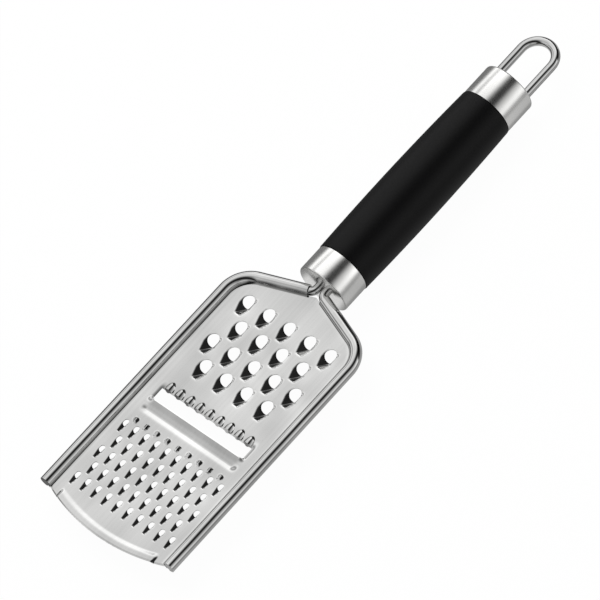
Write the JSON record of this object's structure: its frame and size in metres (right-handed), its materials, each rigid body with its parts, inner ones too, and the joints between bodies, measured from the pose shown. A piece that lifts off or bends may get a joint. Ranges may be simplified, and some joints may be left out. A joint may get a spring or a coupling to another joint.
{
  "type": "hand grater",
  "caption": "Flat hand grater: stamped steel plate with coarse teeth, slicing slot and fine teeth, rolled over frame wires, on a barrel grip with metal ferrules and a hanging loop.",
  "frame": {"origin": "middle of the bounding box at the height of the grip's lowest point", "axes": "+Y along the grater from the tip of the plate to the hanging loop, +Z out of the cutting side, +X to the right of the plate seen with the tip towards the viewer's feet"},
  "size_m": [0.0688, 0.2682, 0.0248],
  "materials": {
    "stamped_steel": "bright rolled sheet with light streaks along the grater",
    "frame_wire": "smooth drawn wire",
    "ferrule_steel": "brushed round the handle",
    "moulded_core": "plain moulded, hidden inside the handle",
    "soft_grip": "soft matte",
    "loop_wire": "smooth drawn wire"
  },
  "bodies": {
    "root": {"grater_plate": "stamped_steel", "left_frame_wire": "frame_wire", "right_frame_wire": "frame_wire", "front_ferrule": "ferrule_steel", "handle_core": "moulded_core", "grip_sleeve": "soft_grip", "rear_ferrule": "ferrule_steel", "hanging_loop": "loop_wire"}
  },
  "joints": []
}
